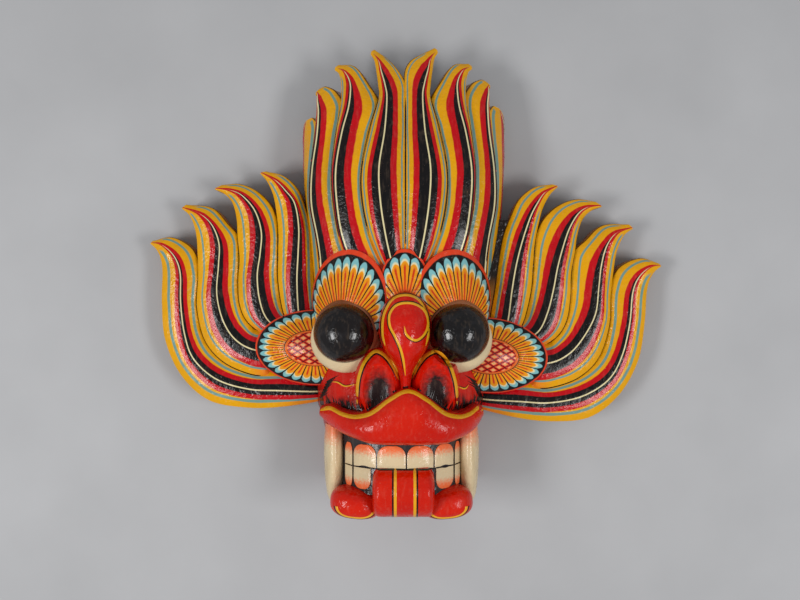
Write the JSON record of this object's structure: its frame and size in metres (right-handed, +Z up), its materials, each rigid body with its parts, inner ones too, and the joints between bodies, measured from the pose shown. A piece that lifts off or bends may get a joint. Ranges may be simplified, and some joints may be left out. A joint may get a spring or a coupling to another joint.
{
  "type": "painted wooden demon mask",
  "caption": "Carved and lacquered wooden demon mask lying on its back, with a flame crown, bulging eyes, tusks, tongue and a flame wing at each ear.",
  "frame": {"origin": "middle of the mask's box, on the surface that it lies on", "axes": "+Z up out of the face, +Y towards the tips of the crown, +X to the side that shows right in the picture"},
  "size_m": [0.4405, 0.3844, 0.113],
  "materials": {
    "head_lacquer": "glossy hand-painted lacquer on carved light wood",
    "wing_lacquer": "glossy hand-painted lacquer on carved light wood"
  },
  "bodies": {
    "root": {"mask_head": "head_lacquer", "left_ear_wing": "wing_lacquer", "right_ear_wing": "wing_lacquer"}
  },
  "joints": []
}
